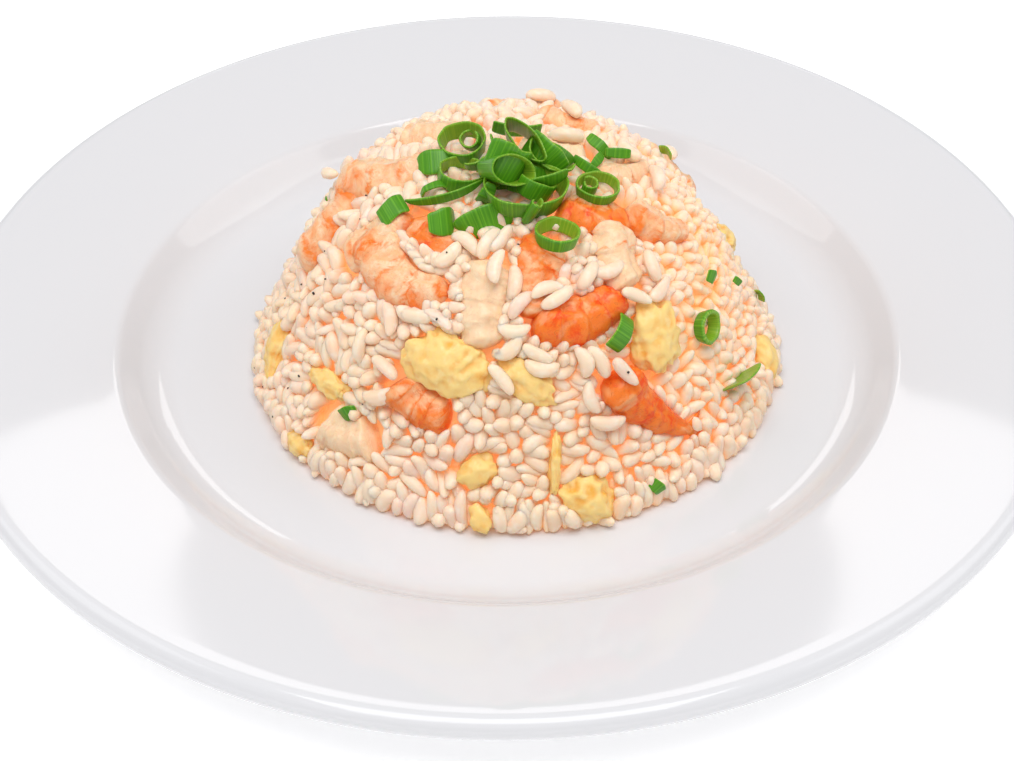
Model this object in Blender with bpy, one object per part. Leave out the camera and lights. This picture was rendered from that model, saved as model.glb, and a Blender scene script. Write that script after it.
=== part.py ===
"""Shrimp fried rice, turned out of a mould as a dome on a wide-rimmed plate.

Each piece is one closed solid: the plate, the dome of rice, the shrimps and egg
curds that show in its surface, the heap of spring onion on top, and the larger
slices of spring onion that lie apart from the heap.

Metres, +Z up. The origin is the middle of the plate's foot, and the dish is seen
from the -Y side.
"""
from math import cos, sin, pi, radians, hypot

import bmesh
import bpy
from mathutils import Matrix, Vector, noise

MM = 0.001

# ---- driving dimensions ---------------------------------------------------------
GAP = 0.3 * MM                  # between pieces that touch
POCKET_GAP = 0.45 * MM          # a pocket's stand-off at the corners of its piece

PLATE_R = 140 * MM              # outside of the rim
LIP_R = 3.0 * MM                # the rolled edge
LIP_Z = 21 * MM                 # centre of the rolled edge
RIM_TILT = radians(14)          # how far the rim rises outward
RIM_THICK = 4.5 * MM
WELL_R = 101.6 * MM             # centre of the round where the rim breaks into the well
WELL_ROUND = 5 * MM
FLOOR_Z = 6 * MM
FLOOR_FILLET = 14 * MM          # where the well's wall runs into its floor
FLOOR_R = 84.8 * MM             # the flat of the floor
UNDERSIDE_Z = 1.8 * MM
FOOT_R = 77 * MM
FOOT_WIDTH = 5 * MM
PLATE_SEGMENTS = 48

DOME_CENTRE = Vector((2.5 * MM, -3.0 * MM, FLOOR_Z + GAP))
DOME_BASE_R = 69.8 * MM
DOME_HEIGHT = 60.2 * MM
DOME_SIDE = (46.2 * MM, 37.0 * MM)      # radius and height that draw the side up
DOME_SHOULDER_R = 49.8 * MM             # how broad the top stays
DOME_SEGMENTS = 40
DOME_RINGS = 10
DOME_UNEVEN = 0.9 * MM

SHRIMP_SIDES = 6
SHRIMP_RINGS = 7
RING_SIDES = 10


# ---- materials ------------------------------------------------------------------
def principled(name, colour, roughness):
    material = bpy.data.materials.new(name)
    material.use_nodes = True
    shader = material.node_tree.nodes["Principled BSDF"]
    shader.inputs["Base Color"].default_value = (*colour, 1.0)
    shader.inputs["Roughness"].default_value = roughness
    shader.inputs["Metallic"].default_value = 0.0
    return material


# ---- mesh helpers ---------------------------------------------------------------
def add_object(name, bm, material, smooth_angle=None):
    """Close the bmesh into an object of its own with its faces pointing out."""
    bmesh.ops.recalc_face_normals(bm, faces=bm.faces)
    if bm.calc_volume(signed=True) < 0:
        bmesh.ops.reverse_faces(bm, faces=bm.faces)
    bmesh.ops.triangulate(bm, faces=bm.faces)
    mesh = bpy.data.meshes.new(name)
    bm.to_mesh(mesh)
    bm.free()
    if smooth_angle is not None:
        mesh.shade_smooth()
        mesh.set_sharp_from_angle(angle=smooth_angle)
    obj = bpy.data.objects.new(name, mesh)
    bpy.context.collection.objects.link(obj)
    mesh.materials.append(material)
    return obj


def arc(centre_r, centre_z, radius, start, end, steps):
    """Points of an arc in the (radius, height) half plane."""
    points = []
    for step in range(steps + 1):
        angle = start + (end - start) * step / steps
        points.append((centre_r + radius * cos(angle), centre_z + radius * sin(angle)))
    return points


def turned(profile, segments):
    """Spin a (radius, height) profile that starts and ends on the axis."""
    bm = bmesh.new()
    verts = [bm.verts.new((r, 0.0, z)) for r, z in profile]
    edges = [bm.edges.new(pair) for pair in zip(verts, verts[1:])]
    bmesh.ops.spin(bm, geom=verts + edges, cent=(0, 0, 0), axis=(0, 0, 1), dvec=(0, 0, 0),
                   angle=2 * pi, steps=segments, use_merge=True, use_duplicate=False)
    bmesh.ops.remove_doubles(bm, verts=bm.verts, dist=0.001 * MM)
    return bm


def skin(rings):
    """Bridge equal rings of points into a closed solid with flat ends."""
    bm = bmesh.new()
    loops = [[bm.verts.new(point) for point in ring] for ring in rings]
    count = len(loops[0])
    for lower, upper in zip(loops, loops[1:]):
        for i in range(count):
            j = (i + 1) % count
            bm.faces.new((lower[i], lower[j], upper[j], upper[i]))
    bm.faces.new(loops[0])
    bm.faces.new(loops[-1])
    return bm


def pocket_of(obj):
    """A cutter of the object's own shape, thicker all over."""
    bm = bmesh.new()
    bm.from_mesh(obj.data)
    bm.normal_update()
    for vert in bm.verts:
        vert.co += vert.normal * POCKET_GAP
    mesh = bpy.data.meshes.new(obj.name + ".pocket")
    bm.to_mesh(mesh)
    bm.free()
    cutter = bpy.data.objects.new(obj.name + ".pocket", mesh)
    cutter.hide_render = True
    cutter.display_type = "WIRE"
    bpy.context.collection.objects.link(cutter)
    return cutter


def box_of(obj):
    points = [vert.co for vert in obj.data.vertices]
    low = Vector([min(p[axis] for p in points) for axis in range(3)])
    high = Vector([max(p[axis] for p in points) for axis in range(3)])
    return low, high


def near(one, other):
    low_a, high_a = box_of(one)
    low_b, high_b = box_of(other)
    return all(low_a[k] < high_b[k] and low_b[k] < high_a[k] for k in range(3))


def cut_clear(obj, pockets):
    """Cut each pocket out of the object, so that a gap is left where pieces meet."""
    for cutter in pockets:
        if not near(obj, cutter):
            continue
        boolean = obj.modifiers.new("pocket", "BOOLEAN")
        boolean.operation = "DIFFERENCE"
        boolean.solver = "EXACT"
        boolean.object = cutter
        depsgraph = bpy.context.evaluated_depsgraph_get()
        mesh = bpy.data.meshes.new_from_object(obj.evaluated_get(depsgraph))
        mesh.name = obj.name
        obj.modifiers.remove(boolean)
        obj.data = mesh
    tidy = bmesh.new()
    tidy.from_mesh(obj.data)
    bmesh.ops.dissolve_limit(tidy, angle_limit=radians(3), verts=tidy.verts, edges=tidy.edges)
    bmesh.ops.triangulate(tidy, faces=tidy.faces)
    tidy.to_mesh(obj.data)
    tidy.free()


# ---- the plate ------------------------------------------------------------------
def plate(material):
    up = pi / 2
    wall = radians(45)
    lip = arc(PLATE_R - LIP_R, LIP_Z, LIP_R, RIM_TILT - up, RIM_TILT + up, 5)
    edge = arc(WELL_R, LIP_Z - 11 * MM, WELL_ROUND, up + RIM_TILT, up + wall, 2)
    fillet = arc(FLOOR_R, FLOOR_Z + FLOOR_FILLET, FLOOR_FILLET, -wall, -up, 3)
    rim_break = (edge[0][0] + RIM_THICK * sin(RIM_TILT), edge[0][1] - RIM_THICK * cos(RIM_TILT))
    foot = [(FOOT_R + FOOT_WIDTH / 2, UNDERSIDE_Z), (FOOT_R, 0), (FOOT_R - FOOT_WIDTH, 0),
            (FOOT_R - FOOT_WIDTH - MM, UNDERSIDE_Z), (0, UNDERSIDE_Z)]
    heel = (FLOOR_R + 6 * MM, UNDERSIDE_Z + 1.6 * MM)
    profile = foot[::-1] + [heel, rim_break] + lip + edge + fillet + [(0, FLOOR_Z)]
    return add_object("plate", turned(profile, PLATE_SEGMENTS), material, radians(40))


# ---- the dome of rice -----------------------------------------------------------
def dome_profile(climb):
    """Radius and height at climb 0 (base) to 1 (top), on one cubic Bezier curve."""
    drop = 1 - climb
    weights = (drop ** 3, 3 * drop ** 2 * climb, 3 * drop * climb ** 2, climb ** 3)
    radii = (DOME_BASE_R, DOME_SIDE[0], DOME_SHOULDER_R, 0)
    heights = (0, DOME_SIDE[1], DOME_HEIGHT, DOME_HEIGHT)
    return (sum(w * r for w, r in zip(weights, radii)),
            sum(w * h for w, h in zip(weights, heights)))


def dome_frame(azimuth, climb):
    """A point on the dome, with the directions around it, uphill and outward.

    Azimuth 0 is the front (-Y) and grows towards +X.
    """
    step = 0.002
    radius, height = dome_profile(climb)
    r0, h0 = dome_profile(climb - step)
    r1, h1 = dome_profile(min(climb + step, 1))
    length = hypot(r1 - r0, h1 - h0)
    out = Vector((sin(azimuth), -cos(azimuth), 0))
    around = Vector((cos(azimuth), sin(azimuth), 0))
    uphill = out * ((r1 - r0) / length) + Vector((0, 0, (h1 - h0) / length))
    point = DOME_CENTRE + out * radius + Vector((0, 0, height))
    return point, around, uphill, around.cross(uphill)


def rice_mound(material):
    profile = [(0, 0)] + [dome_profile(ring / DOME_RINGS) for ring in range(DOME_RINGS + 1)]
    bm = turned(profile, DOME_SEGMENTS)
    for vert in bm.verts:
        out = Vector((vert.co.x, vert.co.y, 0))
        if out.length > 0 and vert.co.z > 0:
            bump = noise.noise(vert.co / (11 * MM)) + noise.noise(vert.co / (30 * MM))
            vert.co += (out.normalized() + Vector((0, 0, 0.5))) * bump * DOME_UNEVEN
        vert.co += DOME_CENTRE
    return add_object("rice_mound", bm, material)


# ---- placing pieces in the dome's surface ---------------------------------------
def seat(azimuth, climb, turn, sunk, roll=0):
    """Frame of a piece: X along it, turned up from 'around'; Z out of the dome."""
    point, around, uphill, out = dome_frame(radians(azimuth), climb)
    along = around * cos(radians(turn)) + uphill * sin(radians(turn))
    across = out.cross(along)
    axes = Matrix((along, across, out)).transposed().to_4x4()
    return Matrix.Translation(point - out * sunk * MM) @ axes @ Matrix.Rotation(radians(roll), 4, "X")


def shrimp(name, material, azimuth, climb, turn, length, thick, bend, sunk, tip):
    """A curled, tapering tail of shrimp, thick end first, bent in its own plane."""
    length, thick, bend = length * MM, thick * MM, radians(bend)
    bend_r = length / bend
    place = seat(azimuth, climb, turn, sunk)
    rings = []
    for step in range(SHRIMP_RINGS):
        t = step / (SHRIMP_RINGS - 1)
        angle = bend * (t - 0.5)
        centre = Vector((bend_r * sin(angle), bend_r * (1 - cos(angle)), 0))
        outward = Vector((sin(angle), -cos(angle), 0))
        end_round = min(1, 0.6 + 2.2 * t, 0.65 + 2.2 * (1 - t))
        segment = 1 + 0.04 * (-1) ** step
        half = thick / 2 * (1 - (1 - tip) * t ** 1.4) * end_round * segment
        ring = []
        for side in range(SHRIMP_SIDES):
            around = 2 * pi * side / SHRIMP_SIDES
            offset = outward * half * cos(around) + Vector((0, 0, half * sin(around)))
            ring.append(place @ (centre + offset))
        rings.append(ring)
    return add_object(name, skin(rings), material, radians(50))


def egg_curd(name, material, azimuth, climb, turn, length, width, thick, sunk):
    """A torn scrap of scrambled egg: a flattened lump with an uneven outline."""
    place = seat(azimuth, climb, turn, sunk)
    bm = bmesh.new()
    bmesh.ops.create_icosphere(bm, subdivisions=2, radius=1)
    for vert in bm.verts:
        wave = noise.noise(vert.co * 1.6 + Vector((azimuth, climb * 9, length)))
        size = Vector((length, width, thick)) * MM / 2
        vert.co = place @ Vector([vert.co[k] * size[k] * (1 + 0.45 * wave) for k in range(3)])
    return add_object(name, bm, material)


# ---- spring onion ---------------------------------------------------------------
def onion_strip(name, material, azimuth, climb, turn, roll, radius, sweep, width, wall, sunk):
    """A slice of hollow leaf, bent through 'sweep' degrees; its axis is the frame's Z.

    A slice of 360 degrees is a whole ring.
    """
    radius, width, wall = radius * MM, width * MM, wall * MM
    place = seat(azimuth, climb, turn, sunk, roll)
    closed = sweep >= 360
    steps = RING_SIDES if closed else max(3, round(RING_SIDES * sweep / 360))
    bm = bmesh.new()
    loops = []
    for step in range(steps if closed else steps + 1):
        angle = radians(sweep) * step / steps - radians(sweep) / 2
        loop = []
        for r, z in ((radius, -width / 2), (radius, width / 2),
                     (radius - wall, width / 2), (radius - wall, -width / 2)):
            shift = 0 if closed else radius
            loop.append(bm.verts.new(place @ Vector((r * sin(angle), shift - r * cos(angle), z))))
        loops.append(loop)
    pairs = list(zip(loops, loops[1:]))
    if closed:
        pairs.append((loops[-1], loops[0]))
    for one, two in pairs:
        for i in range(4):
            j = (i + 1) % 4
            bm.faces.new((one[i], one[j], two[j], two[i]))
    if not closed:
        bm.faces.new(loops[0])
        bm.faces.new(loops[-1])
    return add_object(name, bm, material)


def scallion_heap(material):
    """The tangled rings on the dome's top, as one lump out to their uneven outline."""
    centre = DOME_CENTRE + Vector((-1 * MM, -8 * MM, DOME_HEIGHT + 1 * MM))
    size = Vector((25, 18.5, 10.5)) * MM
    bm = bmesh.new()
    bmesh.ops.create_icosphere(bm, subdivisions=3, radius=1)
    for vert in bm.verts:
        wave = noise.noise(vert.co * 2.3) + 0.4 * noise.noise(vert.co * 5.0)
        vert.co = centre + Vector([vert.co[k] * size[k] * (1 + 0.3 * wave) for k in range(3)])
    return add_object("scallion_heap", bm, material)


# ---- what lies where ------------------------------------------------------------
# azimuth, climb, turn, length, thickness, bend, sunk (mm), tail end's thickness ratio
SHRIMPS = {
    "left_curl": (-88, 0.52, 120, 23, 10.5, 120, 2.0, 0.6),
    "left_inner": (-62, 0.63, 80, 14, 9, 50, 2.5, 0.7),
    "left_mid": (-42, 0.56, -8, 25, 12, 100, 2.0, 0.5),
    "top_left": (-92, 0.72, 77, 21, 11, 80, 2.0, 0.6),
    "back_left": (-131, 0.80, 118, 15, 10, 60, 2.5, 0.7),
    "under_heap_left": (-33, 0.73, 0, 15, 9, 60, 2.5, 0.6),
    "centre_pale": (-10, 0.555, -92, 18, 11, 45, 2.5, 0.8),
    "centre_striped": (8, 0.64, -104, 17, 9.5, 50, 2.0, 0.7),
    "bright_middle": (20, 0.52, 2, 20, 11, 80, 2.0, 0.7),
    "under_heap_right": (44, 0.78, -40, 15, 9, 60, 2.5, 0.7),
    "pale_right": (41, 0.635, -112, 15, 10, 60, 2.5, 0.8),
    "right_upper": (66, 0.63, -58, 16, 8.5, 70, 2.0, 0.5),
    "right_back": (89, 0.76, -52, 18, 8.5, 80, 2.5, 0.5),
    "top_back": (146, 0.79, -162, 16, 9, 70, 2.5, 0.6),
    "top_white": (118, 0.92, -138, 16, 10, 60, 3.0, 0.8),
    "red_tail": (33, 0.20, -52, 28, 11, 45, 2.0, 0.18),
    "small_left": (-24, 0.26, -20, 13, 10, 60, 2.5, 0.7),
    "pale_low": (-41.5, 0.13, 10, 15, 13, 60, 3.5, 0.9),
    "back_high": (178, 0.60, 20, 22, 11, 90, 2.5, 0.6),
    "back_low": (-158, 0.22, -30, 20, 11, 80, 2.5, 0.5),
    "back_side_right": (128, 0.38, 60, 20, 10, 80, 2.5, 0.6),
    "back_side_left": (-122, 0.42, -15, 18, 10, 70, 2.5, 0.7),
}
# azimuth, climb, turn, length, width, thickness, sunk (mm)
EGGS = {
    "wide": (-19, 0.37, -4, 21, 14, 9, 1.5),
    "centre_strip": (1.7, 0.35, -41, 14, 8, 6, 1.0),
    "right": (39, 0.38, -111, 18, 13, 9, 1.5),
    "low": (15, 0.07, -40, 14, 10, 8, 1.5),
    "low_left": (-9, 0.13, 33, 10, 7, 6, 1.5),
    "thin_strip": (8, 0.145, -97, 14, 3, 5, 1.0),
    "left_edge": (-77, 0.13, -65, 15, 8, 6, 1.5),
    "left_strip": (-52, 0.20, 9, 13, 6, 5, 1.5),
    "left_foot": (-53, 0.045, 2, 8, 6, 5, 1.0),
    "right_edge": (78, 0.08, -116, 11, 8, 6, 1.5),
    "front_foot": (-7.8, 0.04, -61, 7, 5, 4.5, 1.0),
    "back_middle": (163, 0.34, 30, 18, 12, 8, 1.5),
    "back_right": (112, 0.18, -40, 15, 9, 7, 1.5),
    "back_left": (-140, 0.14, 60, 14, 9, 7, 1.5),
}
# azimuth, climb, turn, roll, radius, sweep, width, wall, sunk (mm)
ONION_SLICES = {
    "ring_front": (17, 0.735, -30, 12, 5.2, 360, 2.6, 0.9, -1.6),
    "ring_right": (56, 0.32, 15, 8, 4.0, 360, 3.0, 1.3, 0.2),
    "band_centre": (29, 0.43, 45, 75, 7.0, 75, 5.0, 0.8, -0.5),
    "band_left": (-59, 0.70, 80, 80, 6.0, 80, 5.5, 0.8, -0.5),
    "leaf_right": (59, 0.14, -10, 70, 14.0, 45, 6.0, 0.8, -0.3),
}


def main():
    for obj in list(bpy.data.objects):
        bpy.data.objects.remove(obj)
    glaze = principled("white_glaze", (0.83, 0.83, 0.85), 0.12)
    rice = principled("cooked_rice", (0.90, 0.76, 0.62), 0.45)
    pink = principled("cooked_shrimp", (0.93, 0.50, 0.28), 0.35)
    yellow = principled("scrambled_egg", (0.93, 0.72, 0.28), 0.5)
    green = principled("spring_onion", (0.10, 0.33, 0.02), 0.4)

    plate(glaze)
    dome = rice_mound(rice)
    pockets = []

    def settle(piece):
        """Cut a new piece clear of the earlier ones and keep its own pocket."""
        own_pocket = pocket_of(piece)
        cut_clear(piece, pockets)
        pockets.append(own_pocket)

    for name, sizes in ONION_SLICES.items():
        settle(onion_strip("scallion_" + name, green, *sizes))
    for name, sizes in SHRIMPS.items():
        settle(shrimp("shrimp_" + name, pink, *sizes))
    for name, sizes in EGGS.items():
        settle(egg_curd("egg_" + name, yellow, *sizes))
    dome_pocket = pocket_of(dome)
    cut_clear(scallion_heap(green), [dome_pocket] + pockets)
    cut_clear(dome, pockets)
    for cutter in [dome_pocket] + pockets:
        bpy.data.objects.remove(cutter)


main()
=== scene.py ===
"""Shrimp fried rice on a wide-rimmed plate, modelled over its fixed frame.

Every size is in metres unless a name says otherwise.  Azimuth 0 is the side that
faces -Y and azimuths grow towards +X; climb runs from 0 at the dome's base to 1 at
its top.
"""
from math import acos, atan2, cos, degrees, hypot, pi, radians, sin, sqrt

import bmesh
import bpy
import numpy as np
from bpy.props import FloatProperty, FloatVectorProperty, IntProperty, PointerProperty
from mathutils import Euler, Matrix, Vector, noise


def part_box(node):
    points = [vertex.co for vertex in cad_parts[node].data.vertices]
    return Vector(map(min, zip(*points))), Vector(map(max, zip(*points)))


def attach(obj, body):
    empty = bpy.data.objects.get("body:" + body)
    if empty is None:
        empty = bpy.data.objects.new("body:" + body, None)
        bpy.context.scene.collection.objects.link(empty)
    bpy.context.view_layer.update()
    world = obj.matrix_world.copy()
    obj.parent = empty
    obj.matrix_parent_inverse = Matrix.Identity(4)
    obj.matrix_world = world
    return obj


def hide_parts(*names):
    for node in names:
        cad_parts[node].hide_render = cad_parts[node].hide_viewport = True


bl_info = {
    "name": "Shrimp Fried Rice",
    "version": (1, 0, 0),
    "blender": (4, 5, 0),
    "location": "3D Viewport > Sidebar > Rice",
    "description": "Builds a plate of shrimp fried rice over its fixed frame",
    "category": "Add Mesh",
}

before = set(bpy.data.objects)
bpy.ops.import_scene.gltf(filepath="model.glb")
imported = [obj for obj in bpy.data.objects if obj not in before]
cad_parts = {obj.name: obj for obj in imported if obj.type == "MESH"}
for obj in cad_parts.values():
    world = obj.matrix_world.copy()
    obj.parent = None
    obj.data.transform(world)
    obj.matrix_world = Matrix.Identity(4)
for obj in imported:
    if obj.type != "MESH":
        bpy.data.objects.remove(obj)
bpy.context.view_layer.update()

MM = 0.001

# ---- the dome, read from the frame -------------------------------------------------
DOME_LOW, DOME_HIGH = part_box("rice_mound")
DOME_CENTRE = Vector(((DOME_LOW.x + DOME_HIGH.x) / 2, (DOME_LOW.y + DOME_HIGH.y) / 2, DOME_LOW.z))
DOME_R = (DOME_HIGH.x - DOME_LOW.x) / 2
DOME_H = DOME_HIGH.z - DOME_LOW.z
SIDE_R = 0.675 * DOME_R             # where the side's curve is drawn to
SIDE_H = 0.615 * DOME_H
SHOULDER_R = 0.73 * DOME_R
DOME_TOP = DOME_CENTRE + Vector((0, 0, DOME_H))
CORE_INSET = 5.0 * MM               # how far the core lies under the dome's outline
BASE_ROW = 64                       # loose grains in a row around the base
PEPPER_SPECKS = 90
CAMERA_DISTANCE = 0.484
CAMERA_RISE = radians(40.8)

PLATE_LOW, PLATE_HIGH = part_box("plate")
PLATE_R = (PLATE_HIGH.x - PLATE_LOW.x) / 2
PLATE_H = PLATE_HIGH.z - PLATE_LOW.z
LIP_R = 3.0 * MM
FLOOR_Z = 6.0 * MM

# turn, length and thickness (mm), bend, tail end's thickness ratio, blush (0 pale to 1 bright);
# angles in every table are in degrees
SHRIMPS = {
    "left_curl": (120, 27, 13, 120, 0.6, 0.50),
    "left_inner": (80, 18, 12, 50, 0.7, 0.35),
    "left_mid": (-8, 28, 14.5, 100, 0.5, 0.50),
    "top_left": (77, 26, 14.5, 80, 0.6, 0.38),
    "back_left": (118, 19, 12, 60, 0.7, 0.30),
    "under_heap_left": (0, 17, 11, 60, 0.6, 0.75),
    "centre_pale": (-92, 20, 13, 45, 0.8, 0.12),
    "centre_striped": (-104, 19, 11.5, 50, 0.7, 0.72),
    "bright_middle": (2, 22, 13, 80, 0.7, 1.00),
    "under_heap_right": (-40, 17, 11, 60, 0.7, 0.80),
    "pale_right": (-112, 17, 12, 60, 0.8, 0.22),
    "right_upper": (-58, 18, 10.5, 70, 0.5, 0.50),
    "right_back": (-52, 18, 8.5, 80, 0.5, 0.28),
    "top_back": (-162, 16, 9, 70, 0.6, 0.35),
    "top_white": (-138, 16, 10, 60, 0.8, 0.08),
    "red_tail": (-52, 28, 12.5, 45, 0.18, 1.00),
    "small_left": (-20, 15, 12, 60, 0.7, 0.75),
    "pale_low": (10, 15, 13, 60, 0.9, 0.14),
    "back_high": (20, 22, 11, 90, 0.6, 0.55),
    "back_low": (-30, 20, 11, 80, 0.5, 0.80),
    "back_side_right": (60, 20, 10, 80, 0.6, 0.40),
    "back_side_left": (-15, 18, 10, 70, 0.7, 0.30),
}
# length and width (mm), bend, lean of the blades of a tail fan
BLADES = {
    "red_tail": ((11, 2.6, -22, 4), (9, 2.2, 14, -18), (7, 2.0, 25, 26)),
    "left_mid": ((7, 2.4, 18, -8), (5, 1.8, -16, 16)),
    "left_curl": ((7, 2.2, 16, -10), (6, 2.0, -14, 12)),
    "back_low": ((9, 2.6, -18, 6), (8, 2.4, 14, -14)),
}
# turn, length, width, thickness (mm)
EGGS = {
    "wide": (-4, 21, 14, 9),
    "centre_strip": (-41, 14, 8, 6),
    "right": (-111, 18, 13, 9),
    "low": (-40, 14, 10, 8),
    "low_left": (33, 10, 7, 6),
    "thin_strip": (-97, 14, 3, 5),
    "left_edge": (-65, 15, 8, 6),
    "left_strip": (9, 13, 6, 5),
    "left_foot": (2, 8, 6, 5),
    "right_edge": (-116, 11, 8, 6),
    "front_foot": (-61, 7, 5, 4.5),
    "back_middle": (30, 18, 12, 8),
    "back_right": (-40, 15, 9, 7),
    "back_left": (60, 14, 9, 7),
}
# turn, roll, radius (mm), sweep, width (mm), flare
ONION_SLICES = {
    "ring_front": (-20, -26, 5.2, 360, 3.5, 0.08),
    "ring_right": (15, 8, 4.0, 360, 3.0, 0.10),
    "band_centre": (45, -72, 7.0, 80, 5.0, 0.0),
    "band_left": (80, -76, 6.0, 80, 5.5, 0.0),
    "leaf_right": (-10, -66, 14.0, 45, 6.0, 0.25),
}
# place from the dome's top (mm), tilt x y z (degrees), radius, squash, sweep, width, flare,
# spiral, and how far the ends narrow
HEAP = (
    ((-12.5, 0.8, 2.2), (10, -6, 10), 5.7, 0.95, 360, 4.8, 0.06, 0.0, 0.0),
    ((-10.8, 1.0, 3.6), (42, 10, -30), 2.4, 1.0, 330, 3.4, 0.0, 0.12, 0.0),
    ((-19.6, -4.4, 1.2), (-46, -14, -8), 7.0, 1.0, 88, 6.2, 0.0, 0.0, 0.6),
    ((-12.5, -9.0, 0.6), (6, 8, 15), 6.2, 0.80, 360, 3.8, 0.0, 0.0, 0.0),
    ((-18.4, -13.0, 0.8), (-78, 0, 12), 3.9, 0.90, 175, 2.2, 0.0, 0.0, 0.4),
    ((-16.5, -17.0, -0.6), (6, -13, 6), 13.5, 0.55, 100, 2.8, 0.0, 0.0, 0.85),
    ((-2.5, -15.2, 6.0), (58, 24, 18), 5.6, 0.62, 360, 10.0, 0.10, 0.0, 0.0),
    ((-1.2, -16.6, 8.2), (-20, 34, 12), 6.4, 1.0, 120, 9.5, 0.10, 0.0, 0.25),
    ((2.2, -6.0, 6.6), (30, 30, -42), 6.6, 0.42, 360, 10.5, 0.05, 0.0, 0.0),
    ((6.2, -9.0, 5.2), (-38, 36, -30), 7.0, 1.0, 100, 9.0, 0.10, 0.0, 0.3),
    ((0.4, 4.4, 3.4), (12, 8, 5), 9.0, 0.60, 84, 3.8, 0.0, 0.0, 0.0),
    ((10.4, -7.4, 3.4), (-34, 44, 22), 9.0, 1.0, 78, 5.8, 0.10, 0.0, 0.2),
    ((7.6, -18.0, 4.6), (18, -8, 14), 8.0, 0.60, 78, 4.6, 0.0, 0.0, 0.5),
    ((1.8, -17.6, 1.6), (8, 3, 0), 9.3, 0.76, 345, 5.6, 0.08, 0.02, 0.0),
    ((3.4, -25.0, 1.2), (20, 18, 10), 1.4, 1.0, 300, 8.0, 0.10, 0.10, 0.0),
    ((-15.6, -24.4, -1.8), (-30, 20, 40), 4.4, 1.0, 130, 6.6, 0.0, 0.0, 0.4),
    ((-7.2, -24.2, -1.6), (-50, -14, 14), 13.0, 1.0, 64, 6.8, 0.10, 0.0, 0.4),
    ((18.9, -13.4, -0.6), (6, 8, 0), 5.2, 0.90, 360, 3.0, 0.05, 0.0, 0.0),
    ((17.0, -13.2, -0.2), (16, 0, 60), 2.2, 0.90, 320, 2.8, 0.0, 0.15, 0.0),
    ((16.6, -6.2, 0.4), (-36, 14, -38), 9.0, 1.0, 64, 2.6, 0.0, 0.0, 0.3),
    ((20.0, 2.6, 0.8), (-50, 26, -38), 4.8, 1.0, 115, 2.8, 0.0, 0.0, 0.4),
    ((24.6, 0.8, -0.4), (-30, 6, 0), 10.0, 1.0, 38, 2.6, 0.0, 0.0, 0.2),
    ((19.8, -2.2, 0.0), (-40, 0, 65), 8.0, 1.0, 38, 2.4, 0.0, 0.0, 0.3),
    ((-6.6, -7.6, 3.4), (20, -30, 40), 5.0, 0.80, 160, 4.8, 0.0, 0.1, 0.2),
    ((-7.2, -19.6, 1.4), (16, -62, -20), 5.0, 1.0, 90, 3.6, 0.0, 0.0, 0.3),
    ((6.4, -11.0, 3.0), (30, 24, -20), 5.6, 0.70, 200, 5.4, 0.1, 0.0, 0.1),
    ((3.0, -14.4, 2.4), (-24, 10, 8), 8.0, 1.0, 80, 7.0, 0.0, 0.0, 0.2),
    ((-4.4, -12.2, 2.0), (-14, -20, -14), 7.0, 1.0, 100, 7.0, 0.0, 0.0, 0.2),
    ((6.2, -19.4, 1.8), (4, 30, 30), 5.0, 0.8, 200, 5.0, 0.05, 0.0, 0.2),
    ((-6.5, -13.5, 3.2), (40, -20, -50), 3.6, 1.0, 200, 4.0, 0.0, 0.1, 0.1),
)
# azimuth, climb and turn of grains that lie over a shrimp, a curd or other grains
TOP_GRAINS = (
    (-26, 0.68, 62), (-7, 0.66, 82), (-1, 0.63, 86), (1, 0.566, 45), (9, 0.60, 10), (12, 0.576, 25),
    (-2, 0.444, 45), (5, 0.43, -30), (17, 0.39, 100), (21, 0.385, -68), (25.5, 0.35, -60),
    (-4, 0.365, -50), (6, 0.39, -10), (17.5, 0.295, 100), (20.5, 0.23, -12), (45, 0.50, 15),
    (36, 0.52, -40), (-22.5, 0.50, -20), (-29, 0.49, 10), (-34, 0.33, -20), (-37, 0.454, -60),
    (-21, 0.726, -25), (-12, 0.733, 70), (-7, 0.75, 60), (24, 0.62, 40), (32, 0.615, 0),
    (47, 0.57, 75), (-1, 0.496, 0), (-43, 0.35, 100), (-34, 0.255, 30),
    (170, 0.62, 20), (-160, 0.24, 60), (130, 0.40, -20), (-120, 0.44, 70), (160, 0.35, 10),
    (100, 0.77, 30), (118, 0.90, 60), (146, 0.80, -30), (-100, 0.55, 40), (86, 0.70, 15),
)
# azimuth, climb, turn, length, width of loose snips of leaf (mm)
SNIPS = (
    (68, 0.40, -48, 4.5, 3.2), (80, 0.29, -64, 3.6, 1.6), (-41.5, 0.175, 40, 5.5, 3.6),
    (29, 0.055, -55, 4.5, 3.2), (-98, 0.47, 30, 3.2, 2.2), (118, 0.55, 10, 5.0, 3.0),
    (160, 0.20, 60, 5.0, 3.0), (-150, 0.50, -30, 4.5, 3.0), (-115, 0.20, 20, 4.0, 3.0),
    (95, 0.12, 80, 4.0, 2.5),
)


# ---- sizes and colours that a user would change -------------------------------------
def colour(name, description, default):
    return FloatVectorProperty(name=name, description=description, default=default, subtype="COLOR")


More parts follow.
